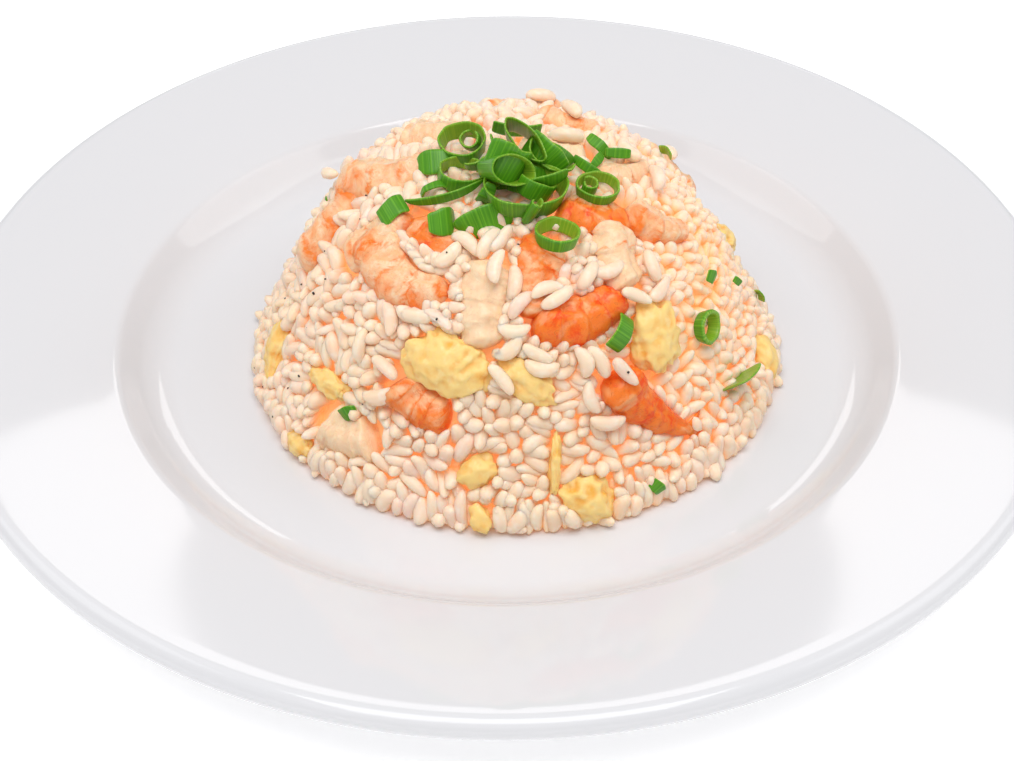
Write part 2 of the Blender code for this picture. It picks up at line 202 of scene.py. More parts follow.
class RiceSettings(bpy.types.PropertyGroup):
    """Sizes and colours of the dish."""

    grain_length: FloatProperty(name="Grain length", description="Length of a whole grain",
                                default=8.3 * MM, unit="LENGTH")
    grain_width: FloatProperty(name="Grain width", description="Width of a whole grain",
                               default=3.7 * MM, unit="LENGTH")
    grain_count: IntProperty(name="Grains", description="How many grains cover the dome",
                             default=2950)
    shell: FloatProperty(name="Grain layer", description="Depth of the modelled grains",
                         default=6.0 * MM, unit="LENGTH")
    rice_colour: colour("Rice", "Colour of a cooked grain", (0.99, 0.77, 0.60))
    # Painted shade: the warm colour given to deep points between the grains and to the core
    rice_painted_shade: colour("Rice shade", "Colour deep between grains", (0.95, 0.54, 0.24))
    shrimp_flesh: colour("Shrimp flesh", "Pale cooked flesh", (0.98, 0.53, 0.27))
    shrimp_orange: colour("Shrimp flush", "Orange of the back", (0.97, 0.23, 0.025))
    shrimp_red: colour("Shrimp red", "Deepest red of the back", (0.90, 0.07, 0.002))
    egg_light: colour("Egg", "Light curd", (0.99, 0.68, 0.25))
    # Deeper yellow: painted shade in the egg's recesses, and the colour of browned patches
    egg_browning_and_painted_shade: colour("Egg folds", "Deeper yellow in the folds", (0.93, 0.42, 0.04))
    leaf: colour("Leaf", "Outside of the spring onion", (0.070, 0.27, 0.008))
    leaf_inside: colour("Leaf inside", "Inside of the leaf", (0.20, 0.40, 0.02))
    glaze: colour("Glaze", "The plate's glaze", (0.745, 0.745, 0.765))


def settings():
    return bpy.context.scene.rice_settings


# ---- shader maths as expressions ----------------------------------------------------
class Socket:
    """A node's output. Arithmetic on it adds Math nodes."""

    def __init__(self, shader, output):
        self.shader = shader
        self.output = output

    def _math(self, operation, *values, clamp=False):
        made = self.shader.tree.nodes.new("ShaderNodeMath")
        made.operation = operation
        made.use_clamp = clamp
        for slot, value in zip(made.inputs, values):
            self.shader.plug(slot, value)
        return Socket(self.shader, made.outputs[0])

    def __add__(self, other):
        return self._math("ADD", self, other)

    __radd__ = __add__

    def __sub__(self, other):
        return self._math("SUBTRACT", self, other)

    def __rsub__(self, other):
        return self._math("SUBTRACT", other, self)

    def __mul__(self, other):
        return self._math("MULTIPLY", self, other)

    __rmul__ = __mul__

    def fraction(self):
        return self._math("FRACT", self)

    def clamped(self):
        return self._math("ADD", self, 0.0, clamp=True)

    def step(self, low, high):
        """0 below low, 1 above high, smooth between."""
        return self.shader.node("ShaderNodeMapRange", {"interpolation_type": "SMOOTHSTEP"},
                                {"Value": self, "From Min": low, "From Max": high})


class Shader:
    """A material with one Principled shader, and short ways to feed it."""

    def __init__(self, name, **constants):
        self.material = bpy.data.materials.new(name)
        self.material.use_nodes = True
        self.tree = self.material.node_tree
        self.principled = self.tree.nodes["Principled BSDF"]
        for key, value in constants.items():
            socket = key.replace("_", " ").title().replace("Ior", "IOR")
            self.principled.inputs[socket].default_value = value

    def plug(self, slot, value):
        if isinstance(value, Socket):
            self.tree.links.new(value.output, slot)
        elif slot.type == "RGBA" and len(value) == 3:
            slot.default_value = (*value, 1.0)
        else:
            slot.default_value = value

    def node(self, kind, options=None, inputs=None, output=0):
        """Any node: its settings first, then the values or links of its sockets."""
        made = self.tree.nodes.new(kind)
        for key, value in (options or {}).items():
            setattr(made, key, value)
        for key, value in (inputs or {}).items():
            self.plug(made.inputs[key], value)
        return Socket(self, made.outputs[output])

    def place(self):
        return self.node("ShaderNodeTexCoord", output="Object")

    def attribute(self, name):
        return self.node("ShaderNodeAttribute", {"attribute_name": name}, output="Fac")

    def noise(self, scale, detail=3.0, roughness=0.55, distortion=0.0):
        return self.node("ShaderNodeTexNoise", {},
                         {"Vector": self.place(), "Scale": scale, "Detail": detail,
                          "Roughness": roughness, "Distortion": distortion}, "Fac")

    def mix(self, factor, one, other):
        return self.node("ShaderNodeMix", {"data_type": "RGBA"}, {0: factor, 6: one, 7: other}, 2)

    def set(self, **inputs):
        for key, value in inputs.items():
            self.plug(self.principled.inputs[key.replace("_", " ").title()], value)

    def soften(self, radius, scale):
        """How far light spreads inside: per colour, and overall in metres."""
        self.principled.inputs["Subsurface Radius"].default_value = radius
        self.principled.inputs["Subsurface Scale"].default_value = scale

    def bump(self, height, strength, distance):
        self.set(normal=self.node("ShaderNodeBump", {}, {"Height": height, "Strength": strength,
                                                         "Distance": distance}))


# ---- materials ----------------------------------------------------------------------
def rice_material():
    """Cooked rice: translucent, from pinkish to creamy grains with pale painted highlights, and warm
    painted shade and a painted glow where it lies deep between grains.
    """
    look = settings()
    s = Shader("cooked_rice", roughness=0.30, subsurface_weight=0.5, ior=1.38, emission_strength=1.0)
    s.soften((1.0, 0.62, 0.42), 2.0 * MM)
    tint = s.attribute("tint")
    depth = s.attribute("depth")
    cloud = s.noise(420, 2.0)
    patch = s.noise(38, 1.0)
    hue = (tint * 0.7 + (patch - 0.5) * 1.2 + 0.15).clamped()
    body = s.mix(hue, (0.99, 0.70, 0.58), (0.99, 0.73, 0.47))
    body = s.mix(tint.fraction().step(0.3, 0.9) * 0.6, body, look.rice_colour)
    # Painted highlights: fine noise lightens patches of the grains towards near-white
    body = s.mix(cloud.step(0.45, 0.7) * 0.45, body, (0.99, 0.87, 0.76))
    # Painted shade: the deeper a point lies between grains, the nearer it turns to the warm rice shade
    # colour, standing in for light bounced through the rice
    s.set(base_color=s.mix(depth.step(0.0, 0.9), body, look.rice_painted_shade),
          # Painted glow: deep points emit a faint warm light, standing in for light bounced through the
          # grains
          emission_color=s.mix(depth, (0.0, 0.0, 0.0), (0.30, 0.15, 0.06)))
    s.bump(s.noise(1300, 2.0) + 0.6 * s.noise(450, 1.0), 0.22, 0.3 * MM)
    return s.material


def core_material():
    look = settings()
    s = Shader("rice_shade", roughness=0.6, emission_strength=1.0)
    # Painted shade and painted glow: the core seen between the grains takes the warm rice shade colour and
    # emits a faint warm light, standing in for light bounced through the rice
    s.set(base_color=s.mix(s.noise(220), look.rice_painted_shade, (0.96, 0.62, 0.32)),
          emission_color=(0.30, 0.15, 0.06))
    return s.material


def shrimp_material():
    """Pale flesh with an orange flush on the back, blotched red where it is brightest."""
    look = settings()
    s = Shader("cooked_shrimp", roughness=0.30, subsurface_weight=0.35, ior=1.40)
    s.soften((1.0, 0.45, 0.25), 2.2 * MM)
    blush = s.attribute("blush")
    back = s.attribute("back")
    along = s.attribute("along")
    blotch = s.noise(150, 4.0, 0.60, distortion=0.8)
    fine = s.noise(520, 4.0, 0.65, distortion=0.5)
    band = (along * 4.0 + (blotch - 0.5) * 1.6).fraction()
    line = band.step(0.70, 0.93) - band.step(0.93, 1.0)
    warmth = blush * 1.25 + back * 0.35 + line * 0.28 + (blotch - 0.5) * 2.2 + (fine - 0.5) * 0.8 - 0.62
    red = blush * 1.1 + line * 0.30 + (fine - 0.5) * 1.6 + (blotch - 0.5) * 2.0 - 0.95
    pale = s.mix(blush.step(0.05, 0.5), (0.97, 0.67, 0.42), look.shrimp_flesh)
    flesh = s.mix(fine.step(0.35, 0.7), pale, (0.99, 0.74, 0.50))
    colour = s.mix(warmth.step(0.0, 0.75), flesh, look.shrimp_orange)
    colour = s.mix(red.step(0.0, 0.7) * 0.9, colour, look.shrimp_red)
    streak = s.noise(110, 3.0, 0.5, distortion=1.8)
    colour = s.mix(streak.step(0.56, 0.70) * 0.40, colour, (0.98, 0.64, 0.34))
    vein = s.noise(240, 2.0, 0.5, distortion=2.5)
    thin = vein.step(0.485, 0.50) - vein.step(0.50, 0.515)
    s.set(base_color=s.mix(thin * (blush + 0.2).clamped() * 0.5, colour, (0.62, 0.12, 0.02)))
    s.bump(s.noise(380, 4.0, 0.6) + 0.4 * line - 0.3 * thin, 0.40, 0.5 * MM)
    return s.material


def egg_material():
    """Scrambled egg: light curd with pale painted highlights, deeper yellow as painted shade in the
    recesses between lumps, and browned patches of the egg's own colour.
    """
    look = settings()
    s = Shader("scrambled_egg", roughness=0.42, subsurface_weight=0.35, ior=1.38)
    s.soften((1.0, 0.65, 0.2), 2.0 * MM)
    fold = s.attribute("fold")
    cloud = s.noise(230, 4.0, 0.6)
    # Painted shade: deeper yellow where the fold value is low, in the recesses between lumps; the cloud
    # noise adds browned patches of the egg's own colour
    deep = (1.0 - fold) * 0.7 + (cloud - 0.5) * 1.6 - 0.15
    colour = s.mix(deep.step(0.1, 1.0), look.egg_light, look.egg_browning_and_painted_shade)
    # Painted highlights: fine noise lightens patches of the curd towards pale yellow
    s.set(base_color=s.mix(s.noise(420, 2.0).step(0.5, 0.7) * 0.5, colour, (1.0, 0.78, 0.38)))
    s.bump(s.noise(520, 4.0, 0.6), 0.35, 0.5 * MM)
    return s.material


def leaf_material(name, colour, light, stripe_strength):
    """Spring onion leaf, with fine veins along the leaf."""
    s = Shader(name, roughness=0.32, subsurface_weight=0.12, ior=1.42)
    s.soften((0.4, 1.0, 0.1), 0.8 * MM)
    around = s.attribute("around")
    veins = s.node("ShaderNodeTexNoise", {"noise_dimensions": "1D"},
                   {"W": around, "Scale": 1.9, "Detail": 3.0, "Roughness": 0.6}, "Fac")
    patch = s.noise(130, 2.0)
    pale = veins.step(0.42, 0.68) * stripe_strength + (patch - 0.5) * 0.9
    s.set(base_color=s.mix(pale.clamped(), colour, light))
    s.bump(veins, 0.25, 0.25 * MM)
    return s.material


def glaze_material():
    """White glaze: glossy, with the faint unevenness of a fired surface."""
    s = Shader("white_glaze", ior=1.50)
    ripple = s.noise(14, 2.0, 0.4)
    s.set(base_color=s.mix(ripple, settings().glaze, tuple(0.985 * c for c in settings().glaze)),
          roughness=0.045 + 0.03 * s.noise(30, 3.0))
    s.bump(ripple, 0.05, 0.4 * MM)
    return s.material


def pepper_material():
    s = Shader("ground_pepper", roughness=0.7)
    s.set(base_color=s.mix(s.noise(900), (0.012, 0.009, 0.007), (0.07, 0.04, 0.025)))
    return s.material


# ---- the dome's shape ---------------------------------------------------------------
def dome_profile(climb):
    """Radius and height on the dome's cubic Bezier outline."""
    drop = 1 - climb
    weights = (drop ** 3, 3 * drop ** 2 * climb, 3 * drop * climb ** 2, climb ** 3)
    return (weights[0] * DOME_R + weights[1] * SIDE_R + weights[2] * SHOULDER_R,
            weights[1] * SIDE_H + (weights[2] + weights[3]) * DOME_H)


PROFILE_CLIMBS = np.linspace(0, 1, 241)
PROFILE = np.array([dome_profile(climb) for climb in PROFILE_CLIMBS])
PROFILE_SLOPE = np.gradient(PROFILE, axis=0)
PROFILE_SLOPE /= np.linalg.norm(PROFILE_SLOPE, axis=1, keepdims=True)
PROFILE_NORMAL = np.stack([PROFILE_SLOPE[:, 1], -PROFILE_SLOPE[:, 0]], axis=1)


def dome_axes(azimuth, index):
    """Directions around the dome, uphill and outward at a sample of its outline."""
    out = Vector((sin(azimuth), -cos(azimuth), 0))
    around = Vector((cos(azimuth), sin(azimuth), 0))
    slope = PROFILE_SLOPE[index]
    uphill = out * slope[0] + Vector((0, 0, slope[1]))
    return around, uphill, around.cross(uphill)


def dome_index(point):
    """The outline sample nearest to a point, and the point's azimuth."""
    local = point - DOME_CENTRE
    gaps = np.hypot(PROFILE[:, 0] - hypot(local.x, local.y), PROFILE[:, 1] - local.z)
    return int(gaps.argmin()), atan2(local.x, -local.y)


def right_dent(x, z):
    """How far the grains and core of the right side lie under the round outline."""
    return 4.4 * MM * np.clip(x / DOME_R, 0, 1) * 1.6 * np.clip(z / DOME_H, 0, 0.6)


def seat_matrix(point, index, azimuth, turn, roll=0.0):
    """Frame with X along the piece, turned up from 'around', and Z out of the dome."""
    around, uphill, out = dome_axes(azimuth, index)
    along = around * cos(radians(turn)) + uphill * sin(radians(turn))
    axes = Matrix((along, out.cross(along), out)).transposed().to_4x4()
    return Matrix.Translation(point) @ axes @ Matrix.Rotation(radians(roll), 4, "X")


def seat_at_node(node, turn):
    """The frame of a piece in the middle of its CAD node's box."""
    low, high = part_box(node)
    centre = (low + high) / 2
    index, azimuth = dome_index(centre)
    return seat_matrix(centre, index, azimuth, turn)


def seat_on_dome(azimuth, climb, turn, lift, roll=0.0):
    """The frame of a piece that lies on the dome, its middle lifted out by 'lift'."""
    azimuth = radians(azimuth)
    index = int(round(climb * (len(PROFILE_CLIMBS) - 1)))
    out = dome_axes(azimuth, index)[2]
    radius, height = PROFILE[index]
    point = DOME_CENTRE + Vector((sin(azimuth) * radius, -cos(azimuth) * radius, height))
    return seat_matrix(point + out * lift, index, azimuth, turn, roll)


# ---- making pieces ------------------------------------------------------------------
def add_piece(name, mesh, materials, nodes=()):
    """Link a finished mesh as a piece of the dish."""
    obj = bpy.data.objects.new(name, mesh)
    bpy.context.scene.collection.objects.link(obj)
    for material in materials:
        mesh.materials.append(material)
    mesh.shade_smooth()
    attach(obj, "root")
    if nodes:
        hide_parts(*nodes)
    return obj


def mesh_of(name, bm):
    mesh = bpy.data.meshes.new(name)
    bm.to_mesh(mesh)
    bm.free()
    return mesh


def arc(centre_r, centre_z, radius, start, end, steps):
    """Points of an arc in the (radius, height) half plane, from start to end degrees."""
    return [(centre_r + radius * cos(radians(start + (end - start) * k / steps)),
             centre_z + radius * sin(radians(start + (end - start) * k / steps)))
            for k in range(steps + 1)]


def between(start, end, steps):
    """Points inside a straight stretch, so that its shading stays flat."""
    return [tuple(a + (b - a) * k / steps for a, b in zip(start, end)) for k in range(1, steps)]


def turned(profile, steps):
    """Spin a (radius, height) profile that starts and ends on the axis."""
    bm = bmesh.new()
    verts = [bm.verts.new((r, 0, z)) for r, z in profile]
    edges = [bm.edges.new(pair) for pair in zip(verts, verts[1:])]
    bmesh.ops.spin(bm, geom=verts + edges, cent=(0, 0, 0), axis=(0, 0, 1), dvec=(0, 0, 0),
                   angle=2 * pi, steps=steps, use_merge=True, use_duplicate=False)
    bmesh.ops.remove_doubles(bm, verts=bm.verts, dist=0.001 * MM)
    bmesh.ops.recalc_face_normals(bm, faces=bm.faces)
    return bm


def array_mesh(name, form, frames, values):
    """Join a copy of the form at each frame; 'values' gives each copy's attributes."""
    bmesh.ops.triangulate(form, faces=form.faces)
    form.verts.index_update()
    corners = np.array([vert.co for vert in form.verts])
    triangles = np.array([[vert.index for vert in face.verts] for face in form.faces])
    form.free()
    places = np.einsum("nij,vj->nvi", frames[:, :3, :3], corners) + frames[:, None, :3, 3]
    starts = np.arange(len(frames)) * len(corners)
    faces = (triangles[None] + starts[:, None, None]).reshape(-1, 3)
    mesh = bpy.data.meshes.new(name)
    mesh.from_pydata(places.reshape(-1, 3), [], faces)
    for key, value in values.items():
        layer = mesh.attributes.new(key, "FLOAT", "POINT")
        layer.data.foreach_set("value", np.repeat(value, len(corners)).astype(np.float32))
    return mesh


# ---- shrimps ------------------------------------------------------------------------
def shrimp_point(row, along):
    """Middle, outward direction and half thickness of a shrimp at 0 (head end) to 1."""
    _, length, thick, bend, tip, _ = row
    bend = radians(bend)
    bend_r = length * MM / bend
    angle = bend * (along - 0.5)
    sag = bend_r * (1 - cos(bend / 2)) / 2
    middle = Vector((bend_r * sin(angle), bend_r * (1 - cos(angle)) - sag, 0))
    half = thick * MM / 2 * (1 - (1 - tip) * along ** 1.4)
    return middle, Vector((sin(angle), -cos(angle), 0)), half


def round_end(distance):
    """1 well inside the body, falling round to 0 at its end."""
    return sqrt(max(0.0, 1 - (1 - min(distance, 1)) ** 2))


def shrimp_body(bm, layers, row, place):
    """Bend a sphere into a curled tail with overlapping bands and soft folds."""
    made = bmesh.ops.create_uvsphere(bm, u_segments=28, v_segments=54, radius=1)["verts"]
    offset = Vector((row[1], row[0] * 0.1, row[2]))
    for vert in made:
        along = acos(max(-1, min(1, vert.co.z))) / pi
        angle = atan2(vert.co.y, vert.co.x)
        middle, outward, half = shrimp_point(row, along)
        back = (1 + cos(angle)) / 2
        warp = 0.35 * noise.noise(vert.co * 1.3 + offset)
        band = (along * 4.2 + warp) % 1
        relief = 1 + (0.12 * band ** 2 - 0.05) * (0.3 + 0.7 * back)
        groove = 0.20 * max(0.0, 1 - ((abs(angle) - 2.0 - warp) / 0.35) ** 2)
        ends = round_end(along / 0.14) * round_end((1 - along) / 0.12)
        across = outward * cos(angle) * (0.92 + 0.12 * back) + Vector((0, 0, 0.86 * sin(angle)))
        point = middle + across * half * (relief - groove) * ends
        lump = (noise.noise(point / (4.6 * MM) + offset) + 0.5 * noise.noise(point / (2.1 * MM) + offset)
                + 0.16 * noise.noise(point / (0.8 * MM) + offset))
        vert.co = place @ (point + across * lump * 0.17 * half * min(1, 3 * ends))
        vert[layers["along"]] = along
        vert[layers["back"]] = back
        vert[layers["blush"]] = row[5]


def tail_blade(bm, layers, place, length, width, bend, lean):
    """One thin blade of the tail fan (mm and degrees), starting at the frame's origin."""
    made = bmesh.ops.create_uvsphere(bm, u_segments=12, v_segments=20, radius=1)["verts"]
    for vert in made:
        reach = (1 - vert.co.z) / 2
        girth = hypot(vert.co.x, vert.co.y)
        side = vert.co.y / girth if girth > 1e-6 else 0
        flat = vert.co.x / girth if girth > 1e-6 else 0
        wide = girth ** 0.8 * (0.35 + 0.65 * sin(pi * min(1, reach * 0.9 + 0.1)))
        angle = radians(lean) + radians(bend) * reach
        point = Vector((cos(angle), sin(angle), 0)) * (length * reach)
        point += Vector((-sin(angle), cos(angle), 0)) * (side * wide * width / 2)
        point += Vector((0, 0, flat * girth * 0.45 - 1.8 * reach * reach))
        vert.co = place @ (point * MM)
        vert[layers["along"]] = 0.95
        vert[layers["back"]] = 0.6 + 0.4 * reach
        vert[layers["blush"]] = 1.0


def shrimp_mesh(name, row, place, blades=()):
    bm = bmesh.new()
    layers = {key: bm.verts.layers.float.new(key) for key in ("along", "back", "blush")}
    shrimp_body(bm, layers, row, place)
    middle, _, _ = shrimp_point(row, 0.9)
    angle = radians(row[3]) * 0.4
    turn = Matrix.Rotation(angle, 4, "Z")
    for length, width, bend, lean in blades:
        tail_blade(bm, layers, place @ Matrix.Translation(middle) @ turn, length, width, bend, lean)
    return mesh_of(name, bm)


def shrimp_bumps():
    """Spheres along each shrimp, which the grains lie against."""
    bumps = []
    for name, row in SHRIMPS.items():
        place = seat_at_node("shrimp_" + name, row[0])
        for along in np.linspace(0.08, 0.92, 6):
            middle, _, half = shrimp_point(row, along)
            bumps.append((*(place @ middle), half * 0.80))
    return bumps


# ---- egg ----------------------------------------------------------------------------
def egg_mesh(name, row, place):
    """A torn curd of scrambled egg: soft lumps and folds inside a ragged outline."""
    turn, length, width, thick = row
    bm = bmesh.new()
    bmesh.ops.create_icosphere(bm, subdivisions=5 if length > 12 else 4, radius=1)
    fold_layer = bm.verts.layers.float.new("fold")
    offset = Vector((turn, length, width))
    size = Vector((length, width, thick)) / 2
    for vert in bm.verts:
        raw = Vector(a * b for a, b in zip(vert.co, size))
        outline = noise.noise(vert.co * 1.5 + offset) + 0.5 * noise.noise(vert.co * 3.4 + offset)
        lumps = 0.5 - abs(noise.noise(raw / 3.4 + offset))
        small = noise.noise(raw / 1.5 + offset)
        edge = 1 - abs(vert.co.z)
        grow = 1 + 0.32 * outline * (0.4 + 0.6 * edge) + 0.24 * lumps + 0.05 * small
        vert.co = place @ (raw * grow * 0.95 * MM)
        # fold: how far a point bulges out among the lumps; the egg material paints shade where it is low
        vert[fold_layer] = min(1, max(0, lumps * 1.7 + small * 0.3))
    return mesh_of(name, bm)


def egg_bumps():
    bumps = []
    for name, (turn, length, width, thick) in EGGS.items():
        place = seat_at_node("egg_" + name, turn)
        radius = min(width, thick + 1) / 2 * 0.85
        for x in np.linspace(-1, 1, 4):
            reach = max(0.0, (width / 2 - radius)) * (1 - x * x)
            for y in (-reach, reach):
                middle = Vector((x * (length / 2 - radius), y, 0)) * MM
                bumps.append((*(place @ middle), radius * MM))
    return bumps


# ---- spring onion -------------------------------------------------------------------
def leaf_slice(bm, place, radius, squash, sweep, width, flare, spiral, narrow):
    """Bend a grid into a slice of hollow leaf (mm) about the frame's Z.

    A whole ring has its centre at the frame's origin, and a strip its own middle.
    """
    layer = bm.verts.layers.float.get("around") or bm.verts.layers.float.new("around")
    around_steps = max(8, round(abs(sweep) / 11))
    made = bmesh.ops.create_grid(bm, x_segments=around_steps, y_segments=5, size=1)["verts"]
    seed = Vector((radius, width, sweep * 0.01))
    shift = radius * squash if sweep < 250 else 0
    for vert in made:
        u, v = vert.co.x, vert.co.y
        angle = radians(sweep) / 2 * u
        ring = Vector((sin(angle), -cos(angle), 0))
        wobble = noise.noise(ring * 1.5 + seed) + 0.5 * noise.noise(ring * 3.5 + seed)
        r = radius * (1 + flare * v + spiral * u + 0.10 * wobble)
        cut = 1 + 0.12 * noise.noise(ring * 2.2 + seed * 2 + Vector((0, 0, v))) - narrow * abs(u) ** 2.5
        point = Vector((r * ring.x, r * ring.y * squash + shift,
                        width / 2 * v * cut + 0.06 * width * wobble))
        vert.co = place @ (point * MM)
        vert[layer] = angle * radius + 40 * seed.x
    if sweep >= 360:
        bmesh.ops.remove_doubles(bm, verts=made, dist=0.01 * MM)


def finish_leaf(obj, thickness):
    wall = obj.modifiers.new("wall", "SOLIDIFY")
    wall.thickness = thickness
    wall.offset = -1
    wall.material_offset = 1
    wall.material_offset_rim = 2
    round_edge = obj.modifiers.new("soft", "SUBSURF")
    round_edge.levels = round_edge.render_levels = 1


def leaf_materials():
    look = settings()
    return (leaf_material("leaf_outside", look.leaf, (0.18, 0.48, 0.02), 0.60),
            leaf_material("leaf_inside", look.leaf_inside, (0.42, 0.56, 0.05), 0.6),
            leaf_material("leaf_cut", (0.14, 0.36, 0.01), (0.46, 0.62, 0.10), 0.5))


# ---- the grains ---------------------------------------------------------------------
def grain_form(width, thick, taper, blunt):
    """One grain of unit length along X: blunt ends and three soft ridges."""
    bm = bmesh.new()
    bmesh.ops.create_uvsphere(bm, u_segments=8, v_segments=8, radius=1)
    for vert in bm.verts:
        reach = vert.co.z
        angle = atan2(vert.co.y, vert.co.x)
        girth = sqrt(max(0.0, 1 - abs(reach) ** blunt)) * (1 - taper * reach) * (1 + 0.05 * cos(3 * angle))
        vert.co = Vector((reach / 2, girth * cos(angle) * width / 2, girth * sin(angle) * thick / 2))
    bmesh.ops.recalc_face_normals(bm, faces=bm.faces)
    return bm


def shell_state(centres):
    """Outward direction and height above the dome for each point."""
    local = centres - np.array(DOME_CENTRE)
    radius = np.hypot(local[:, 0], local[:, 1])
    gaps = (PROFILE[None, :, 0] - radius[:, None]) ** 2 + (PROFILE[None, :, 1] - local[:, 2, None]) ** 2
    nearest = gaps.argmin(axis=1)
    normal = PROFILE_NORMAL[nearest]
    away = local[:, :2] / np.maximum(radius, 1e-9)[:, None]
    out = np.column_stack([away * normal[:, :1], normal[:, 1]])
    rise = local[:, 2] - PROFILE[nearest, 1]
    height = (radius - PROFILE[nearest, 0]) * normal[:, 0] + rise * normal[:, 1]
    return out, height


def close_pairs(centres, reach):
    """Index pairs of points nearer than reach."""
    first, second = [], []
    for start in range(0, len(centres), 500):
        block = centres[start:start + 500]
        gaps = ((block[:, None] - centres[None]) ** 2).sum(axis=2)
        one, two = np.nonzero(gaps < reach * reach)
        one += start
        keep = one < two
        first.append(one[keep])
        second.append(two[keep])
    return np.concatenate(first), np.concatenate(second)


def settle_grains(count, length, width, shell, bumps, rng, rounds):
    """Scatter grains in a shell under the dome's surface and push overlaps apart."""
    area = PROFILE[:, 0] * np.hypot(*np.gradient(PROFILE, axis=0).T)
    index = rng.choice(len(PROFILE), size=count, p=area / area.sum())
    azimuth = rng.uniform(-pi, pi, count)
    away = np.column_stack([np.sin(azimuth), -np.cos(azimuth)])
    depth = rng.uniform(0.15, 1.0, count) * shell
    radius = PROFILE[index, 0] - PROFILE_NORMAL[index, 0] * depth
    centres = np.column_stack([away * radius[:, None],
                               PROFILE[index, 1] - PROFILE_NORMAL[index, 1] * depth])
    centres += np.array(DOME_CENTRE)
    axes = rng.normal(size=(count, 3))
    out, _ = shell_state(centres)
    axes -= out * (axes * out).sum(axis=1, keepdims=True) * 0.75
    axes /= np.linalg.norm(axes, axis=1, keepdims=True)
    kind = rng.choice(3, size=count, p=(0.46, 0.40, 0.14))
    lengths = length * np.array((1.04, 0.92, 0.62))[kind] * rng.normal(1, 0.07, count).clip(0.8, 1.2)
    widths = width * np.array((0.92, 1.06, 0.98))[kind] * rng.normal(1, 0.05, count).clip(0.85, 1.15)
    half = (lengths - widths) / 2
    ball = np.array(bumps)
    for turn in range(rounds):
        if turn % 5 == 0:
            one, two = close_pairs(centres, length)
        arm = axes * half[:, None]
        gap = centres[one] - centres[two]
        a = (arm[one] ** 2).sum(1)
        e = (arm[two] ** 2).sum(1)
        b = (arm[one] * arm[two]).sum(1)
        c = (arm[one] * gap).sum(1)
        f = (arm[two] * gap).sum(1)
        s = ((b * f - c * e) / np.maximum(a * e - b * b, 1e-16)).clip(-1, 1)
        t = ((b * s + f) / e).clip(-1, 1)
        s = ((b * t - c) / a).clip(-1, 1)
        gap += arm[one] * s[:, None] - arm[two] * t[:, None]
        distance = np.maximum(np.linalg.norm(gap, axis=1), 1e-6)
        overlap = (widths[one] + widths[two]) * 0.46 - distance
        hit = overlap > 0
        push = gap[hit] * (overlap[hit] / distance[hit] * 0.32)[:, None]
        lever = 0.8 / np.maximum(half, 0.5 * MM)
        for k in range(3):
            centres[:, k] += np.bincount(one[hit], push[:, k], count)
            centres[:, k] -= np.bincount(two[hit], push[:, k], count)
            axes[:, k] += np.bincount(one[hit], push[:, k] * s[hit], count) * lever
            axes[:, k] -= np.bincount(two[hit], push[:, k] * t[hit], count) * lever
        axes /= np.linalg.norm(axes, axis=1, keepdims=True)
        arm = axes * half[:, None]
        for x, y, z, r in ball:
            gap = centres - np.array((x, y, z))
            near = (gap ** 2).sum(1) < (r + length) ** 2
            if not near.any():
                continue
            s = (-(gap[near] * arm[near]).sum(1) / (half[near] ** 2)).clip(-1, 1)
            gap = gap[near] + arm[near] * s[:, None]
            distance = np.maximum(np.linalg.norm(gap, axis=1), 1e-6)
            overlap = (widths[near] / 2 + r - distance).clip(0)
            push = gap * (overlap / distance * 0.6)[:, None]
            centres[near] += push
            axes[near] += push * (s * 0.5 / half[near])[:, None]
        axes /= np.linalg.norm(axes, axis=1, keepdims=True)
        out, height = shell_state(centres)
        dented = right_dent(centres[:, 0] - DOME_CENTRE.x, centres[:, 2] - DOME_CENTRE.z)
        target = np.minimum(height.clip(-shell - dented, None), -0.60 * width - dented)
        centres += out * ((target - height) * 0.7)[:, None]
        axes -= out * (axes * out).sum(axis=1, keepdims=True) * 0.12
        axes /= np.linalg.norm(axes, axis=1, keepdims=True)
        lowest = DOME_CENTRE.z + widths * 0.45 + np.abs(axes[:, 2]) * half
        centres[:, 2] = np.maximum(centres[:, 2], lowest)
    out, height = shell_state(centres)
    return centres, axes, out, height, lengths, widths, kind


def grain_frames(centres, axes, out, scale, spin):
    """4x4 frames with X along each grain, turned by 'spin' about it."""
    side = np.cross(out, axes)
    side /= np.maximum(np.linalg.norm(side, axis=1, keepdims=True), 1e-9)
    top = np.cross(axes, side)
    y = side * np.cos(spin)[:, None] + top * np.sin(spin)[:, None]
    z = np.cross(axes, y)
    frames = np.zeros((len(centres), 4, 4))
    frames[:, :3, 0] = axes * scale[:, :1]
    frames[:, :3, 1] = y * scale[:, 1:2]
    frames[:, :3, 2] = z * scale[:, 1:2]
    frames[:, :3, 3] = centres
    frames[:, 3, 3] = 1
    return frames


